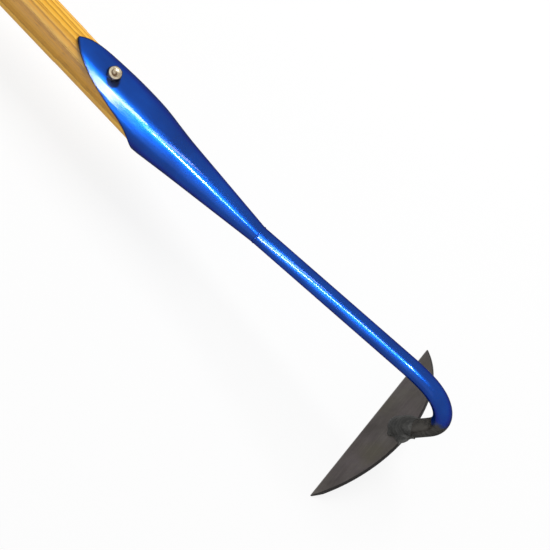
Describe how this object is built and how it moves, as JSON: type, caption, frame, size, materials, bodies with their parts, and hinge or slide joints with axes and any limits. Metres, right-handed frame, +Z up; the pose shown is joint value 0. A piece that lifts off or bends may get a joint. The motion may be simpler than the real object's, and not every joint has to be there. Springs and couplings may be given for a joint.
{
  "type": "half moon hoe",
  "caption": "Long-handled weeding hoe: a half-moon steel blade on a hooked bar neck, welded to a tongued socket that is screwed to a round wooden handle.",
  "frame": {"origin": "on the ground under the middle of the whole tool's box, as it lies face down on its cutting edge and its butt", "axes": "+X from the butt to the head, +Z up, and the blade is as wide to +Y as to -Y"},
  "size_m": [1.6027, 0.16, 0.1047],
  "materials": {
    "handle_wood": "plain sanded ash, long grain",
    "blue_paint": "glossy blue enamel",
    "neck_paint": "glossy blue enamel that fades to bare dark steel at the tail",
    "blade_steel": "dark forge scale with a bright ground edge",
    "zinc": "zinc plated",
    "weld_steel": "rough weld metal",
    "bead_paint": "weld bead under glossy blue enamel"
  },
  "bodies": {
    "root": {"handle": "handle_wood", "socket": "blue_paint", "neck": "neck_paint", "blade": "blade_steel", "screw": "zinc", "blade_weld": "weld_steel", "neck_weld": "bead_paint"}
  },
  "joints": []
}
